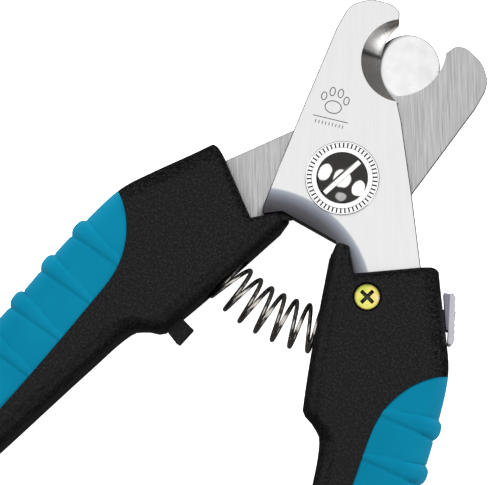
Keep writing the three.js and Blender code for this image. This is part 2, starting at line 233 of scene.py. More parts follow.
OUTER = [(8, 18.5), (14, 19.9), (19, 21.3), (24, 22.8), (31, 24.5), (39, 24.3), (47, 23.5), (55, 22.2),
         (63, 21.1), (80, 20), (100, 19.3), (122, 18.6)]
INNER = [(8, WALL), (42.2, WALL), (44, 2.3), (46.5, 4.1), (56, 4.2), (80, 3.5), (122, 2.7)]
ROUND_TAIL = 13.0
RIB_FIRST, RIB_PITCH, RIB_COUNT = 41.2, 8.3, 8
RIB_REACH = 13.0  # how far a rib runs in from the outer edge


def rib(s, u):
    """Height share of the grip's ribs, wedges that narrow inwards, with a crease at each side."""
    across = max(0.0, min(1.0, (along(OUTER, s) - u) / RIB_REACH))
    middle = s + 1.8 * across
    nearest = max(0, min(RIB_COUNT - 1, round((middle - RIB_FIRST) / RIB_PITCH)))
    off = middle - RIB_FIRST - nearest * RIB_PITCH
    half = 1.75 - 1.35 * across
    if abs(off) < half:
        return (1 - abs(off / half) ** 3) * (1 - 0.45 * across)
    beyond = abs(off) - half
    crease = 0.6 if off > 0 else 0.35
    return -0.34 * (1 - beyond / crease) * (1 - 0.5 * across) if beyond < crease else 0.0


def rib_relief(s, u, nu):
    return 0.75 * rib(s, u) * (0.36 + 0.64 * max(0.0, nu)) - 0.24 * (1 - max(0.0, nu))


def handle_loft(start, stop, step, grow=0.0, edge=EDGE, low=None, corner=10, side=24, relief=None):
    """The handle's body: rounded boxes skinned from start to stop behind the pivot."""
    rings = []
    count = math.ceil((stop - start) / step)
    for i in range(count + 1):
        s = start + (stop - start) * i / count
        end = max(0.0, s - (TAIL + grow - ROUND_TAIL)) / ROUND_TAIL
        shrink = math.sqrt(max(0.0, 1 - end * end))
        u0 = along(INNER, s) - grow
        u1 = along(OUTER, s) + grow
        middle = (u0 + u1) / 2
        u0, u1 = middle + (u0 - middle) * shrink, middle + (u1 - middle) * shrink
        if low is not None:
            u0 = min(low, u1 - 1)
        half = (PARTING + grow) * max(0.35, shrink ** 0.35)
        r = min(edge, (u1 - u0) * 0.45, half * 0.9)
        ring = []
        corners = [(u1 - r, half - r), (u0 + r, half - r), (u0 + r, r - half), (u1 - r, r - half)]
        for c, (cu, cz) in enumerate(corners):
            arc = [(c + k / corner) * math.pi / 2 for k in range(corner + 1)]
            for a in arc:
                ring.append((cu + r * math.cos(a), cz + r * math.sin(a), math.cos(a), math.sin(a)))
            # The long faces carry extra points, so that relief can shape them.
            nu, nz = corners[(c + 1) % 4]
            a = arc[-1]
            for k in range(1, side):
                t = k / side
                ring.append((cu + (nu - cu) * t + r * math.cos(a), cz + (nz - cz) * t + r * math.sin(a),
                             math.cos(a), math.sin(a)))
        placed = []
        for u, z, nu, nz in ring:
            rise = relief(s, u, nu) if relief else 0.0
            placed.append((u + nu * rise, -s, PARTING + z + nz * rise))
        rings.append(placed)
    return loft("handle", rings)


# ---- Rubber zone ----
GRIP_POINTS = [(31, -31.2), (25, -31.5), (20.4, -33.1), (16.2, -36.7), (13.4, -41.8), (11.8, -50),
               (9.6, -64), (8.1, -76), (7.4, -88), (8.6, -97), (12.2, -103.5), (17, -106), (31, -106.6)]


def spline(points, per_span):
    """Catmull-Rom through points of (x, y)."""
    out = []
    last = len(points) - 1
    for i in range(last):
        p0, p1, p2, p3 = (Vector(points[max(0, min(last, i + k))]) for k in (-1, 0, 1, 2))
        for k in range(per_span):
            t = k / per_span
            out.append(0.5 * (2 * p1 + (p2 - p0) * t + (2 * p0 - 5 * p1 + 4 * p2 - p3) * t * t
                              + (3 * p1 - p0 - 3 * p2 + p3) * t ** 3))
    out.append(Vector(points[-1]))
    return out


def grip_zone(gap):
    line = spline(GRIP_POINTS, 10)
    moved = []
    for i, p in enumerate(line):
        t = (line[min(i + 1, len(line) - 1)] - line[max(i - 1, 0)]).normalized()
        moved.append(p + Vector((t.y, -t.x)) * gap)
    return loft("zone", [[(p.x, p.y, z) for p in moved] for z in (-5, DEPTH + 5)])


# ---- Handle shells ----
NOSE_FRONT = [(0.25, -15.2, 4), (1.15, -11.5, 0.9), (3.4, -11.8, 0.6), (5.1, -16.5, 0.3)]
NOSE_BACK = [(-0.6, -13.6, 0.5), (2.6, -12.6, 0.8), (5.2, -17, 0.3)]


def head(nose, up):
    """Everything behind the handle's front end, with its own nose beside the blades. The end's
    long edge is rounded at the front face (up = 1) or at the back face (up = -1)."""
    corner = [(16.6, -13.4, 3), (19.7, -12.8, 2.2), (23.5, -22), (30, -26), (30, -130), (-5, -130)]
    line = rounded([(-5, nose[0][1] - 4)] + nose + corner, 8)
    levels = [(0.03, 0), (5.6, 0), (6.4, 0.12), (6.9, 0.36), (7.2, 0.66), (7.4, 1.1), (7.52, 1.8), (8.5, 6)]
    return loft("head", [[(p.x, p.y - back, PARTING + up * z) for p in line] for z, back in levels])


POCKET = 5.0  # radius of the hole that takes an end of the spring


def spring_pocket():
    rings = []
    for u in (-2.0, 5.6):
        rings.append([(u, -SPRING_ARC + POCKET * math.cos(a), PARTING + POCKET * math.sin(a))
                      for a in [2 * math.pi * k / 64 for k in range(64)]])
    return loft("pocket", rings)


def handle_body():
    body = handle_loft(8, TAIL - 0.15, 1.0, side=1)
    boolean(body, grip_zone(0.03), "DIFFERENCE")
    join(body, handle_loft(20, TAIL - 6, 4, grow=-SKIN - 0.2, edge=2, low=5, corner=6, side=1))
    cut(body, spring_pocket(), handle_loft(49, 102, 6, grow=-4.4, edge=1.5, corner=4, side=1))
    return body


BLADE_SEAT = [(-4, -9), (-4, -14.4), (2.4, -14.7), (3.1, -20.2), (7.2, -22.8), (9.2, -31.8),
              (19.8, -31.8), (19.8, -26.9), (16.9, -20.8), (16.75, -13.1), (16.75, -9)]


def front_shell():
    shell = handle_body()
    boolean(shell, head(NOSE_FRONT, 1), "INTERSECT")
    cut(shell, prism(BLADE_SEAT, PARTING - 1, BLADE_Z[1] + 0.05))
    for u, v in (SCREW_AT, TAIL_SCREW_AT):
        cut(shell, cylinder(1.5, 5, DEPTH, u, v, 32), cylinder(2.6, DEPTH - 1.9, DEPTH + 1, u, v, 64))
    return shell


def rear_shell():
    shell = handle_body()
    boolean(shell, head(NOSE_BACK, -1), "INTERSECT")
    return shell


def slider_room():
    rooms = [(15, 27, -25.2, -19.4), (16.4, 21.3, -37.6, -19.4), (-1, 21.3, -37.6, -32.9),
             (-1, 1.95, -39.8, -32.9)]
    return [box(*r, 4.6, PARTING + 1) for r in rooms]


def catch_room():
    return box(-1, 3.9, -42.1, -37.2, 4.6, 10.2)


def catch_seat():
    return box(-1, 4.5, -41.5, -37.8, 4.9, 10.3)


def grip():
    piece = handle_loft(28, TAIL - 3, 0.28, low=6, side=26, corner=9, relief=rib_relief)
    boolean(piece, grip_zone(-0.03), "INTERSECT")
    cut(piece, handle_loft(20, TAIL - 6, 4, grow=-SKIN, edge=2, low=3, corner=6, side=1))
    return piece


# ---- Blades, drawn in the open pose ----
TANG = [(16.4, -21), (19.5, -27), (19.5, -31.5, 1), (9.5, -31.5, 1), (7.5, -22.5), (3.4, -20)]
BLADE_LOWER = [(2.6, -14.5)] + TANG[::-1] + [(16.5, -13.3)]
BLADE_UPPER = [(12.3, 3.4), (4.2, 14), (1.9, 16.6), (1.9, 18), (-4.3, 28), (-5.8, 31.2, 1),
               (-7.6, 31.8, 3), (-11.4, 30.8, 5), (-14.3, 28.1, 4), (-14.3, 23.2, 8), (-12.4, 7.6),
               (-11, -3.3), (-9.9, -11)]


def swung_point(point):
    u, v, *radius = point
    c, s = math.cos(OPEN_HALF), math.sin(OPEN_HALF)
    return (u * c - v * s, u * s + v * c, *radius)


def inset(line, gap):
    """The closed line moved inwards by gap."""
    area = sum(a.x * b.y - b.x * a.y for a, b in zip(line, line[1:] + line[:1]))
    inwards = gap if area > 0 else -gap
    out = []
    for i, p in enumerate(line):
        a = (p - line[i - 1]).normalized()
        b = (line[(i + 1) % len(line)] - p).normalized()
        na, nb = Vector((-a.y, a.x)), Vector((-b.y, b.x))
        out.append(p + (na + nb) * (inwards / max(0.5, 1 + na.dot(nb))))
    return out


def blade():
    z0, z1 = BLADE_Z
    outline = [(-9.4, -12.6, 0.5), (-6.4, -10.4), (4.4, -10.4)]
    outline += [swung_point(p) for p in BLADE_LOWER] + BLADE_UPPER
    line = rounded(outline, 10)
    levels = [(0.1, z0), (0, z0 + 0.1), (0, z1 - 0.25), (0.16, z1)]
    plate = loft("blade", [[(p.x, p.y, z) for p in inset(line, gap)] for gap, z in levels])
    land = z0 + 0.35
    rings = []
    for k in range(17):
        t = k / 16
        x, y, r = (a + (b - a) * t for a, b in zip(NOTCH, HOLLOW))
        rings.append(circle(x, y, r, land + (z1 - land) * t ** 1.3, 160))
    rings.append(circle(*HOLLOW, z1 + 1, 160))
    cut(plate, loft("hollow", rings), cylinder(NOTCH[2], z0 - 1, z1 + 1, *NOTCH[:2], sides=160))
    return cut(plate, cylinder(BORE, z0 - 1, z1 + 1, sides=96))


def is_ground(at, normal):
    """True on the hollow-ground cutting arc, for a face's middle and normal as drawn."""
    away = Vector((at.x - NOTCH[0], at.y - NOTCH[1]))
    inside = away.length < NOTCH[2] + 4 and at.z < BLADE_Z[1] - 0.01 and abs(normal.z) < 0.97
    return inside and normal.x * away.x + normal.y * away.y < 0


# ---- Pivot stack and stop ----
def stop_disc():
    x, y, r = STOP
    z0, z1 = 3.1, 4.25
    disc = turned([(0, z0), (r - 0.3, z0), (r, z0 + 0.3), (r, z1 - 0.2), (r - 0.06, z1 - 0.06),
                   (r - 0.2, z1), (0, z1)], 160)
    disc.data.transform(Matrix.Translation((x, y, 0)))
    arm = prism([(-2.6, 0), (2.6, 0), (x + 2.6, y), (x - 2.6, y)], z0 + 0.02, z1 - 0.02)
    join(disc, arm, cylinder(4.8, z0, z1 - 0.01, sides=96))
    return cut(disc, cylinder(BORE, z0 - 1, z1 + 1, sides=96))


SLOT_ANGLE = math.radians(71)


def pivot_screw():
    base, rise, edge, reach = 11.8, 1.9, 0.3, 4.6
    sphere = (reach ** 2 + rise ** 2) / (2 * rise)
    profile = [(0, 0.7), (2.4, 0.7), (2.5, 0.8), (2.5, base), (reach - 0.1, base), (reach, base + 0.1)]
    for k in range(25):
        a = math.asin(reach / sphere) * (24 - k) / 24
        profile.append((sphere * math.sin(a), base + edge + rise - sphere * (1 - math.cos(a))))
    screw = turned(profile, 128)
    levels = [(0.4, base + 0.7), (0.62, base + 2.2), (0.62, base + 4)]
    slot = loft("slot", [[(-6, -w, z), (6, -w, z), (6, w, z), (-6, w, z)] for w, z in levels])
    slot.data.transform(Matrix.Rotation(SLOT_ANGLE, 4, "Z"))
    return cut(screw, slot)


def pivot_washer():
    """Flat ring with a sunk band of radial V grooves near its rim."""
    ring = turned([(0, 10.7), (6.5, 10.7), (6.6, 10.8), (6.6, 11.5), (6.5, 11.62), (6.32, 11.62),
                   (6.26, 11.52), (5.5, 11.52), (5.42, 11.68), (0, 11.68)], 200)
    cut(ring, cylinder(BORE, 10, 12, sides=96))
    count, width, top, bottom, verts, faces = 50, 0.36, 11.66, 11.1, [], []
    for i in range(count):
        turn = Matrix.Rotation(2 * math.pi * (i + 0.25) / count, 3, "Z")
        n = len(verts)
        for r in (5.46, 6.3):
            corners = ((r, -width / 2, top), (r, width / 2, top), (r, 0, bottom))
            verts += [turn @ Vector(p) for p in corners]
        faces += [(n, n + 1, n + 2), (n + 3, n + 5, n + 4), (n, n + 3, n + 4, n + 1),
                  (n + 1, n + 4, n + 5, n + 2), (n + 2, n + 5, n + 3, n)]
    return cut(ring, new_object("grooves", verts, faces))


def is_slot_side(at, normal):
    return at.z > 12.2 and abs(normal.z) < 0.4


def is_groove(at, normal):
    return 5.45 < math.hypot(at.x, at.y) < 6.3 and abs(normal.z) < 0.8


# ---- Screws, slider, spring and mark ----
def cross_screw(u, v):
    top, tip = DEPTH - 0.25, 3.0
    screw = turned([(0, tip), (1.1, tip), (1.25, tip + 0.2), (1.25, top - 1), (2.28, top - 1),
                    (2.3, top - 0.35), (2.2, top - 0.16), (1.9, top - 0.06), (0, top)], 72)
    for degrees in (55, 145):
        levels = [(1.0, 0.2, top - 1.1), (1.5, 0.34, top - 0.05), (1.55, 0.36, top + 0.2)]
        arm = loft("arm", [[(-a, -b, z), (a, -b, z), (a, b, z), (-a, b, z)] for a, b, z in levels])
        arm.data.transform(Matrix.Rotation(math.radians(degrees), 4, "Z"))
        cut(screw, arm)
    screw.data.transform(Matrix.Translation((u, v, 0)))
    return screw


def is_recess(at, normal):
    return DEPTH - 1.45 < at.z < DEPTH - 0.28 and (at.z < DEPTH - 1.3 or abs(normal.z) < 0.85) and (
        min(math.dist(at[:2], SCREW_AT), math.dist(at[:2], TAIL_SCREW_AT)) < 1.7)


def slider():
    """Thumb pad with a scalloped edge on a wedge base, and the bar that reaches the catch."""
    outer = []
    for k in range(7):
        v = -17.5 - 1.16 * k
        for part in range(9):
            a = math.pi * part / 8
            outer.append((23.28 + 0.165 * k + 0.25 * math.sin(a), v + 0.58 * math.cos(a) - 0.4))
    outline = [(22.35, -16.9, 0.2), (23.0, -16.8, 0.4)] + outer + [(24.3, -25.8, 0.3), (23.5, -25.9, 0.3)]
    pad = prism(outline, 3, 12, 4)
    base = prism([(22.6, -17.0), (21.25, -17.0), (22.75, -23.4), (23.4, -23.4)], 3.6, 11.2)
    join(pad, base)
    for size in ((16.7, 24, -22.3, -19.7, 4.8, 7.2), (16.7, 19.3, -34.6, -19.7, 4.8, 7.2),
                 (0.4, 19.3, -34.6, -33.2, 4.8, 7.2), (0.4, 0.95, -36.9, -33.2, 4.8, 7.2)):
        join(pad, box(*size))
    return pad


def is_base(at, normal):
    """True on the slider's inner base, beside its pad."""
    return at.z < 11.5 and at.x < 22.3 + 0.13 * (-16.9 - at.y)


SPRING_TURNS, SPRING_PHASE, COIL, WIRE_RADIUS = 9, -0.43, 4.1, 0.4
SPRING_DEPTH = 3.9  # how far each end reaches into its handle


def spring():
    """A coil whose centre line is an arc round the pivot."""
    reach = OPEN_HALF + SPRING_DEPTH / SPRING_ARC

    def at(t):
        swing = reach * (2 * t - 1)
        turn = 2 * math.pi * (SPRING_TURNS * t + SPRING_PHASE)
        radius = SPRING_ARC + COIL * math.cos(turn)
        return Vector((radius * math.sin(swing), -radius * math.cos(swing),
                       PARTING + COIL * math.sin(turn)))

    steps, sides, rings = SPRING_TURNS * 56, 14, []
    for i in range(steps + 1):
        t = i / steps
        p = at(t)
        swing = reach * (2 * t - 1)
        centre = Vector((SPRING_ARC * math.sin(swing), -SPRING_ARC * math.cos(swing), PARTING))
        out = (p - centre).normalized()
        side = (at(t + 1e-4) - at(t - 1e-4)).cross(out).normalized()
        angles = [-2 * math.pi * k / sides for k in range(sides)]
        rings.append([p + (out * math.cos(a) + side * math.sin(a)) * WIRE_RADIUS for a in angles])
    return loft("spring", rings)


MARK_AT, MARK_ANGLE = (-7.6, 9.9), math.radians(15.8)


def etched_mark():
    """A plain paw outline over a rule and a row of ticks, in thin dark lines."""
    verts, faces = [], []

    def band(outside, inside):
        n, count = len(verts), len(outside)
        for z in (BLADE_Z[1] - 0.02, BLADE_Z[1] + 0.008):
            verts.extend([(x, y, z) for x, y in outside + inside])
        for i in range(count):
            k = (i + 1) % count
            low, high = (n + i, n + k, n + count + k, n + count + i), 2 * count
            faces.append(low)
            faces.append(tuple(v + high for v in low))
            faces.append((n + i, n + k, n + k + high, n + i + high))
            faces.append((n + count + i, n + count + k, n + count + k + high, n + count + i + high))

    def ellipse(x, y, rx, ry, sides=40):
        return [(x + rx * math.cos(2 * math.pi * k / sides), y + ry * math.sin(2 * math.pi * k / sides))
                for k in range(sides)]

    line = 0.17
    for x, y, rx, ry in ((0, 0.5, 1.55, 1.2), (-2.05, 2.1, 0.55, 0.8), (-0.75, 3.2, 0.55, 0.85),
                         (0.75, 3.2, 0.55, 0.85), (2.05, 2.1, 0.55, 0.8)):
        band(ellipse(x, y, rx, ry), ellipse(x, y, rx - line, ry - line))
    strokes = [(-3.2, 3.2, -1.75, -1.6)]
    strokes += [(0.62 * k - 0.07, 0.62 * k + 0.07, -2.9, -2.3) for k in range(-4, 5)]
    for x0, x1, y0, y1 in strokes:
        thin = min(x1 - x0, y1 - y0) * 0.49
        u0, u1, v0, v1 = x0 + thin, x1 - thin, y0 + thin, y1 - thin
        band([(x0, y0), (x1, y0), (x1, y1), (x0, y1)], [(u0, v0), (u1, v0), (u1, v1), (u0, v1)])
    mark = new_object("mark", verts, faces)
    mark.data.transform(Matrix.Translation((*MARK_AT, 0)) @ Matrix.Rotation(MARK_ANGLE, 4, "Z"))
    return mark


# ---- Materials ----
def material(name):
    mat = bpy.data.materials.new(name)
    mat.use_nodes = True
    nodes = mat.node_tree.nodes
    return mat, nodes, mat.node_tree.links, nodes["Principled BSDF"]


def object_coords(nodes):
    """Object coordinates, in metres."""
    return nodes.new("ShaderNodeTexCoord").outputs["Object"]


def noise(nodes, links, vector, scale, detail=2.0, roughness=0.5):
    tex = nodes.new("ShaderNodeTexNoise")
    tex.inputs["Scale"].default_value = scale
    tex.inputs["Detail"].default_value = detail
    tex.inputs["Roughness"].default_value = roughness
    links.new(vector, tex.inputs["Vector"])
    return tex.outputs["Fac"]


def bump(nodes, links, height, distance, strength, shader):
    node = nodes.new("ShaderNodeBump")
    node.inputs["Distance"].default_value = distance
    node.inputs["Strength"].default_value = strength
    links.new(height, node.inputs["Height"])
    links.new(node.outputs["Normal"], shader.inputs["Normal"])


def ramp(nodes, links, value, stops):
    node = nodes.new("ShaderNodeValToRGB")
    elements = node.color_ramp.elements
    while len(elements) < len(stops):
        elements.new(0.5)
    for element, (at, colour) in zip(elements, stops):
        element.position = at
        element.color = (*colour, 1)
    links.new(value, node.inputs["Fac"])
    return node.outputs["Color"]


def grey(value):
    return (value, value, value)


def black_plastic():
    mat, nodes, links, shader = material("black_plastic")
    vector = object_coords(nodes)
    grain = noise(nodes, links, vector, 2600, 2.0, 0.5)
    colour = ramp(nodes, links, grain, [(0.36, (0.001, 0.001, 0.0012)), (0.5, (0.003, 0.003, 0.0035)),
                                        (0.68, (0.011, 0.011, 0.012))])
    links.new(colour, shader.inputs["Base Color"])
    shader.inputs["Roughness"].default_value = 0.45
    shader.inputs["Specular IOR Level"].default_value = 0.19
    bump(nodes, links, grain, 0.00006, 0.6, shader)
    return mat


def teal_rubber():
    mat, nodes, links, shader = material("teal_rubber")
    vector = object_coords(nodes)
    mottle = noise(nodes, links, vector, 90, 3.0, 0.5)
    colour = ramp(nodes, links, mottle, [(0.3, (0.001, 0.126, 0.212)), (0.7, (0.002, 0.147, 0.243))])
    links.new(colour, shader.inputs["Base Color"])
    shader.inputs["Roughness"].default_value = 0.7
    shader.inputs["Specular IOR Level"].default_value = 0.06
    grain = noise(nodes, links, vector, 2600, 2.0, 0.5)
    bump(nodes, links, grain, 0.00002, 0.4, shader)
    return mat


def math_node(nodes, links, operation, a, b=None):
    node = nodes.new("ShaderNodeMath")
    node.operation = operation
    for i, value in enumerate((a, b)):
        if value is None:
            continue
        if isinstance(value, (int, float)):
            node.inputs[i].default_value = value
        else:
            links.new(value, node.inputs[i])
    return node.outputs[0]


def streaks(nodes, links, angle, lines, stretch=0.03):
    """Fine lines along the direction at angle, in radians from +X of the row frame."""
    coords = nodes.new("ShaderNodeTexCoord")
    turn = nodes.new("ShaderNodeMapping")
    turn.vector_type = "TEXTURE"
    turn.inputs["Rotation"].default_value = (0, 0, angle)
    links.new(coords.outputs["Object"], turn.inputs["Vector"])
    longer = nodes.new("ShaderNodeMapping")
    longer.inputs["Scale"].default_value = (stretch, 1, 1)
    links.new(turn.outputs["Vector"], longer.inputs["Vector"])
    return noise(nodes, links, longer.outputs["Vector"], lines, 3.0, 0.6)


def from_centre(nodes, links, x, y):
    """Object coordinates from the drawn point (x, y), in metres."""
    coords = nodes.new("ShaderNodeTexCoord")
    shift = nodes.new("ShaderNodeVectorMath")
    shift.operation = "SUBTRACT"
    shift.inputs[1].default_value = (PIVOT.x + x * MM, PIVOT.y + y * MM, 0)
    links.new(coords.outputs["Object"], shift.inputs[0])
    split = nodes.new("ShaderNodeSeparateXYZ")
    links.new(shift.outputs[0], split.inputs[0])
    return split.outputs["X"], split.outputs["Y"]


def multiplied(nodes, links, first, second):
    mix = nodes.new("ShaderNodeMix")
    mix.data_type = "RGBA"
    mix.blend_type = "MULTIPLY"
    mix.inputs[0].default_value = 1
    links.new(first, mix.inputs[6])
    links.new(second, mix.inputs[7])
    return mix.outputs[2]


def past_circle(nodes, links, x, y, radius, width):
    """How far past a drawn circle a point is, as a share of width: 0 inside, 1 well outside."""
    x, y = from_centre(nodes, links, x, y)
    square = math_node(nodes, links, "ADD", math_node(nodes, links, "MULTIPLY", x, x),
                       math_node(nodes, links, "MULTIPLY", y, y))
    beyond = math_node(nodes, links, "SUBTRACT", math_node(nodes, links, "SQRT", square), radius * MM)
    return math_node(nodes, links, "DIVIDE", beyond, width * MM)


def brushed_steel(name, low, high, angle, roughness=0.3, depth=0.00001, lines=3600.0):
    mat, nodes, links, shader = material(name)
    streak = streaks(nodes, links, angle, lines)
    colour = ramp(nodes, links, streak, [(0.3, low), (0.7, high)])
    links.new(colour, shader.inputs["Base Color"])
    shader.inputs["Metallic"].default_value = 1
    shader.inputs["Roughness"].default_value = roughness
    bump(nodes, links, streak, depth, 0.3, shader)
    return mat


PAINTED_REFLECTION_ZONE = (-2.5, -27.0, 17.0, 4.0)  # x, y, radius, width: painted dark reflection at the front blade's lower end, darkest inside


def front_steel():
    """Satin steel, with a painted dark blue-grey reflection at the blade's lower end."""
    mat, nodes, links, shader = material("satin_blade")
    streak = streaks(nodes, links, math.radians(121), 2600.0, 0.05)
    plain = ramp(nodes, links, streak, [(0.3, grey(0.74)), (0.7, grey(0.78))])
    # Painted reflection: the blade's lower end goes blue-grey, then near black, inside the circle.
    painted_reflection = ramp(nodes, links, past_circle(nodes, links, *PAINTED_REFLECTION_ZONE),
                [(0.0, (0.07, 0.065, 0.07)), (0.38, (0.13, 0.13, 0.15)), (0.68, (0.27, 0.29, 0.34)),
                 (0.9, (0.46, 0.5, 0.56)), (1.0, (1, 1, 1))])
    links.new(multiplied(nodes, links, plain, painted_reflection), shader.inputs["Base Color"])
    shader.inputs["Metallic"].default_value = 1
    shader.inputs["Roughness"].default_value = 0.32
    bump(nodes, links, streak, 0.000002, 0.2, shader)
    return mat


TANG_SHADE = (-5.6, -11.8, 3.6, 1.6)  # on the rear blade: painted shade, dark inside this circle, over its last width


def coarse_steel():
    """Coarse brushed steel, with painted shade where the rear blade's lower corner shows beside the nose.
    """
    mat = brushed_steel("coarse_steel", grey(0.34), grey(0.58), math.radians(121), 0.32, 0.00002, 5200)
    nodes, links = mat.node_tree.nodes, mat.node_tree.links
    shader = nodes["Principled BSDF"]
    plain = shader.inputs["Base Color"].links[0].from_socket
    past = past_circle(nodes, links, *TANG_SHADE)
    shade = ramp(nodes, links, past, [(0.0, grey(0.05)), (1.0, grey(1))])
    links.new(multiplied(nodes, links, plain, shade), shader.inputs["Base Color"])
    return mat


def ground_steel():
    """Ground steel of the cutting arcs: grinding lines across, and a painted highlight and painted dark
    reflections in bands round them.
    """
    mat, nodes, links, shader = material("ground_steel")
    x, y = from_centre(nodes, links, HOLLOW[0], HOLLOW[1])
    angle = math_node(nodes, links, "ARCTAN2", y, x)
    combined = nodes.new("ShaderNodeCombineXYZ")
    links.new(angle, combined.inputs["X"])
    lines = noise(nodes, links, combined.outputs[0], 22.0, 4.0, 0.7)
    colour = ramp(nodes, links, lines, [(0.3, (0.5, 0.49, 0.48)), (0.7, (1, 0.99, 0.97))])
    # The bands, from the tip to the arc's lower end, are a painted highlight and painted dark reflections,
    # not lit.
    opposite = math_node(nodes, links, "ARCTAN2", math_node(nodes, links, "MULTIPLY", y, -1),
                         math_node(nodes, links, "MULTIPLY", x, -1))
    share = math_node(nodes, links, "DIVIDE", math_node(nodes, links, "ADD", opposite, math.pi / 2),
                      math.radians(240))
    tone = ramp(nodes, links, share, [(0.1, (0.3, 0.27, 0.25)), (0.2, (0.45, 0.43, 0.42)), (0.27, grey(1)),
                                      (0.37, grey(0.95)), (0.42, grey(0.5)), (0.438, grey(0.1)),
                                      (0.452, grey(0.12)), (0.475, grey(0.42)), (0.62, (0.4, 0.39, 0.38)),
                                      (0.85, (0.55, 0.53, 0.51))])
    links.new(multiplied(nodes, links, colour, tone), shader.inputs["Base Color"])
    shader.inputs["Metallic"].default_value = 0.8
    shader.inputs["Roughness"].default_value = 0.27
    return mat


def polished(name, colour, roughness=0.08, metallic=1.0, dark=0.94, scale=400.0):
    mat, nodes, links, shader = material(name)
    vector = object_coords(nodes)
    cloud = noise(nodes, links, vector, scale, 3.0, 0.5)
    tone = ramp(nodes, links, cloud, [(0.3, tuple(c * dark for c in colour)), (0.7, colour)])
    links.new(tone, shader.inputs["Base Color"])
    shader.inputs["Metallic"].default_value = metallic
    shader.inputs["Roughness"].default_value = roughness
    return mat


def worn_chrome():
    """Chrome whose surface is a little uneven, so that what it mirrors has ragged edges."""
    mat = polished("chrome", (0.93, 0.91, 0.88), 0.06, 1.0, 0.86, 900.0)
    nodes, links = mat.node_tree.nodes, mat.node_tree.links
    dents = noise(nodes, links, object_coords(nodes), 260, 2.0, 0.5)
    bump(nodes, links, dents, 0.0003, 0.4, nodes["Principled BSDF"])
    return mat


SHADE = (0.83, 24.37, 5.7, 1.2)  # on the stop: painted shadow of the front blade, none inside this circle, darker over the last width


def disc_steel():
    """Polished steel with a painted shadow of the front blade's edge, a darker crescent on the side next to
    it.
    """
    mat = polished("stop_steel", (0.75, 0.75, 0.755), 0.16, 0.95, 0.86, 330.0)
    nodes, links = mat.node_tree.nodes, mat.node_tree.links
    shader = nodes["Principled BSDF"]
    plain = shader.inputs["Base Color"].links[0].from_socket
    shade = ramp(nodes, links, past_circle(nodes, links, *SHADE),
                 [(0.0, grey(1)), (0.35, grey(0.62)), (1.0, grey(0.2))])
    links.new(multiplied(nodes, links, plain, shade), shader.inputs["Base Color"])
    return mat


def yellow_zinc():
    """Zinc plating with a yellow to green and pink bloom."""
    mat, nodes, links, shader = material("yellow_zinc")
    vector = object_coords(nodes)
    cloud = noise(nodes, links, vector, 420, 3.0, 0.6)
    colour = ramp(nodes, links, cloud, [(0.3, (0.5, 0.6, 0.08)), (0.45, (0.72, 0.7, 0.16)),
                                        (0.58, (0.85, 0.62, 0.16)), (0.68, (0.9, 0.72, 0.62))])
    links.new(colour, shader.inputs["Base Color"])
    shader.inputs["Metallic"].default_value = 0.85
    shader.inputs["Roughness"].default_value = 0.28
    return mat


BLACK = black_plastic()
TEAL = teal_rubber()
CHROME = worn_chrome()
DISC = disc_steel()
RING = polished("washer_steel", (0.92, 0.92, 0.93), 0.12)
SATIN = front_steel()
GROUND = ground_steel()
COARSE = coarse_steel()
YELLOW = yellow_zinc()
WIRE = polished("spring_wire", (0.62, 0.58, 0.54), 0.13)
# Painted shade: a darker steel for the washer's groove walls.
GROOVE_SHADE = polished("groove_painted_shade", grey(0.22), 0.3, 0.6)
# Painted shade: a darker copy of the grey plastic, for the slider's base.
SLIDER_BASE_SHADE = polished("shaded_plastic", (0.19, 0.18, 0.215), 0.5, 0.0)
# Painted shade: near black for the screws' recesses and the pivot screw's slot sides.
RECESS_SHADE = polished("screw_recess_shade", (0.035, 0.04, 0.02), 0.4, 0.3)
ETCH = polished("etched_line", grey(0.05), 0.5, 0.0)
GREY = polished("grey_plastic", (0.33, 0.32, 0.36), 0.5, 0.0)
PLAIN = brushed_steel("plain_steel", grey(0.6), grey(0.7), 0.0)

# ---- Handles ----
# The left handle is the right one turned over, so its front shell is drawn as a rear one.
SHELLS = [
    ("right", "front", front_shell, lambda: [catch_room()], RIGHT),
    ("right", "rear", rear_shell, lambda: [catch_room(), *slider_room()], RIGHT),
    ("left", "front", rear_shell, lambda: [catch_seat()], LEFT),
    ("left", "rear", front_shell, lambda: [catch_seat()], LEFT),
]
for side, face, make, rooms, place in SHELLS:
    cover = make()
    cut(cover, *rooms())
    node = f"{side}_{face}_shell"
    finish_piece(cover, f"{side}_{face}_cover", place, BLACK, side + "_half")
    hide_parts(node)
for side, place in (("right", RIGHT), ("left", LEFT)):
    rubber = grip()
    finish_piece(rubber, side + "_rubber", place, TEAL, side + "_half")
    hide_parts(side + "_grip")


# ---- Detailed pieces over their CAD nodes ----
def paint(obj, place, mat, test):
    """Gives mat to the faces whose middle and normal, as drawn, pass the test."""
    back = place.inverted()
    turn = back.to_3x3().normalized()
    obj.data.materials.append(mat)
    for face in obj.data.polygons:
        if test(back @ face.center, turn @ face.normal):
            face.material_index = len(obj.data.materials) - 1


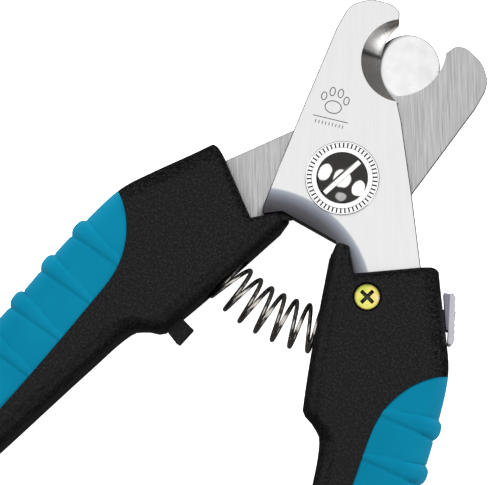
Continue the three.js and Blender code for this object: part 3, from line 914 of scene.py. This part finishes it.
for name, node, place, mat, side in (("front_cutter", "front_blade", ROW, SATIN, "right_half"),
                                     ("rear_cutter", "rear_blade", ROW @ OTHER, COARSE, "left_half")):
    steel = finish_piece(blade(), name, place, mat, side)
    paint(steel, place, GROUND, is_ground)
    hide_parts(node)
DETAILED = [
    (stop_disc, (), "stop_plate", "safety_stop", ROW, DISC, "stop"),
    (pivot_screw, (), "slotted_pivot", "pivot_screw", ROW, CHROME, "right_half"),
    (pivot_washer, (), "grooved_washer", "pivot_washer", ROW, RING, "right_half"),
    (slider, (), "thumb_slider", "lock_slider", RIGHT, GREY, "lock"),
    (cross_screw, SCREW_AT, "right_front_screw", "right_head_screw", RIGHT, YELLOW, "right_half"),
    (cross_screw, SCREW_AT, "left_front_screw", "left_head_screw", LEFT, YELLOW, "left_half"),
    (cross_screw, TAIL_SCREW_AT, "right_end_screw", "right_tail_screw", RIGHT, YELLOW, "right_half"),
    (cross_screw, TAIL_SCREW_AT, "left_end_screw", "left_tail_screw", LEFT, YELLOW, "left_half"),
]
# Faces that take a darker material as painted shade, with the test that picks them.
SHADED = {cross_screw: (RECESS_SHADE, is_recess), pivot_screw: (RECESS_SHADE, is_slot_side),
          pivot_washer: (GROOVE_SHADE, is_groove), slider: (SLIDER_BASE_SHADE, is_base)}
for make, at, name, node, place, mat, side in DETAILED:
    piece = finish_piece(make(*at), name, place, mat, side)
    if make in SHADED:
        paint(piece, place, *SHADED[make])
    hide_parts(node)
finish_piece(etched_mark(), "etched_mark", ROW, ETCH, "right_half")

# The coil is drawn once, as an arc round the pivot in the open pose, and reaches into both handles.
# With the handles closed its turns meet in the middle, and the coil cuts into its two seats.
coil = spring()
coil.data.transform(ROW)
coil.name = coil.data.name = "coil_spring"
coil.data.materials.append(WIRE)
coil.data.shade_smooth()
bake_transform(coil)
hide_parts("return_spring")

# ---- Carried-over CAD nodes ----
CARRIED = {
    "pivot_nut": PLAIN, "friction_washer": PLAIN, "right_tang_pin": PLAIN, "left_tang_pin": PLAIN,
    "right_spring_seat": BLACK, "left_spring_seat": BLACK, "lock_detent_spring": PLAIN,
    "catch_block": BLACK,
}
for node, mat in CARRIED.items():
    for material_slot in frame["nodes"][node].material_slots:
        material_slot.material = mat


# ---- Stage ----
def make_floor():
    size = 1.2
    floor = new_object("floor", [(-size, -size, 0), (size, -size, 0), (size, size, 0), (-size, size, 0)],
                       [(0, 1, 2, 3)])
    floor.location.z = -0.0002
    mat, _, _, shader = material("white_table")
    shader.inputs["Base Color"].default_value = (0.9, 0.9, 0.9, 1)
    shader.inputs["Roughness"].default_value = 0.9
    shader.inputs["Emission Color"].default_value = (1, 1, 1, 1)
    shader.inputs["Emission Strength"].default_value = 0.95
    floor.data.materials.append(mat)
    floor.visible_glossy = False


def area_light(name, at, look, size, power):
    data = bpy.data.lights.new(name, "AREA")
    data.shape = "RECTANGLE"
    data.size, data.size_y = size
    data.energy = power
    obj = bpy.data.objects.new(name, data)
    bpy.context.scene.collection.objects.link(obj)
    obj.location = at
    obj.rotation_euler = (Vector(look) - Vector(at)).to_track_quat("-Z", "Y").to_euler()
    return obj


# ---- Camera: over the clipper, rolled so that the closed line points up and to the right ----
LINE_ANGLE = math.radians(60.3)  # closed line in the picture, from the picture's right
VIEW_WIDTH = 87.2  # millimetres across the picture, at the clipper
PIVOT_IN_VIEW = (17.33, 11.39)  # from the picture's middle to the pivot, right and up
LENS = 200.0
TILT = math.radians(6.0)
TILT_TOWARDS = math.radians(300)  # direction in the picture that the camera leans to
AIM_HEIGHT = 11.0


def make_camera():
    turn = math.pi / 2 - LINE_ANGLE
    right = Vector((math.cos(turn), math.sin(turn), 0))
    up = Vector((-math.sin(turn), math.cos(turn), 0))
    aim = PIVOT + (Vector((0, 0, AIM_HEIGHT)) - right * PIVOT_IN_VIEW[0] - up * PIVOT_IN_VIEW[1]) * MM
    lean = right * math.cos(TILT_TOWARDS) + up * math.sin(TILT_TOWARDS)
    away = Vector((0, 0, 1)) * math.cos(TILT) + lean * math.sin(TILT)
    data = bpy.data.cameras.new("camera")
    data.lens = LENS
    data.sensor_width = 36.0
    distance = VIEW_WIDTH * MM * LENS / data.sensor_width
    camera = bpy.data.objects.new("camera", data)
    bpy.context.scene.collection.objects.link(camera)
    side = up.cross(away).normalized()
    top = away.cross(side)
    turned_axes = Matrix((side, top, away)).transposed().to_4x4()
    camera.matrix_world = Matrix.Translation(aim + away * distance) @ turned_axes
    data.clip_start = 0.01
    bpy.context.scene.camera = camera
    return right, up


PICTURE_RIGHT, PICTURE_UP = make_camera()
make_floor()


def direction(degrees, from_top):
    """A direction at degrees in the picture, from_top degrees down from overhead."""
    a, b = math.radians(degrees), math.radians(from_top)
    flat = PICTURE_RIGHT * math.cos(a) + PICTURE_UP * math.sin(a)
    return (flat * math.sin(b) + Vector((0, 0, 1)) * math.cos(b)).normalized()


# Softboxes of the surroundings: direction, half width in degrees, brightness
SOFTBOXES = [(direction(0, 0), 28, 1.2), (direction(157, 63), 21, 1.5), (direction(-30, 62), 21, 1.8),
             (direction(264, 60), 14, 0.5)]
SURROUNDINGS = 0.05


def studio():
    """Dark surroundings with softboxes, which metal mirrors, and lights for everything matt."""
    world = bpy.data.worlds.new("studio")
    bpy.context.scene.world = world
    world.use_nodes = True
    nodes, links = world.node_tree.nodes, world.node_tree.links
    nodes["Background"].inputs["Color"].default_value = (1, 1, 1, 1)
    coords = nodes.new("ShaderNodeTexCoord")
    total = SURROUNDINGS
    for towards, half, brightness in SOFTBOXES:
        dot = nodes.new("ShaderNodeVectorMath")
        dot.operation = "DOT_PRODUCT"
        dot.inputs[1].default_value = towards
        links.new(coords.outputs["Generated"], dot.inputs[0])
        edge = nodes.new("ShaderNodeMapRange")
        edge.interpolation_type = "SMOOTHSTEP"
        edge.inputs["From Min"].default_value = math.cos(math.radians(half + 3))
        edge.inputs["From Max"].default_value = math.cos(math.radians(half - 3))
        edge.inputs["To Max"].default_value = brightness
        links.new(dot.outputs["Value"], edge.inputs["Value"])
        total = math_node(nodes, links, "ADD", edge.outputs["Result"], total)
    links.new(total, nodes["Background"].inputs["Strength"])
    up = Vector((0, 0, 1))
    high = PIVOT + up * 0.5
    key = area_light("key", high + PICTURE_UP * 0.45 - PICTURE_RIGHT * 0.2, PIVOT, (0.35, 0.3), 6.5)
    side = area_light("side", high + PICTURE_RIGHT * 0.5 - up * 0.2, PIVOT, (0.3, 0.5), 2.5)
    for light in (key, side):
        light.visible_glossy = False


studio()
bpy.context.scene.view_settings.view_transform = "Standard"
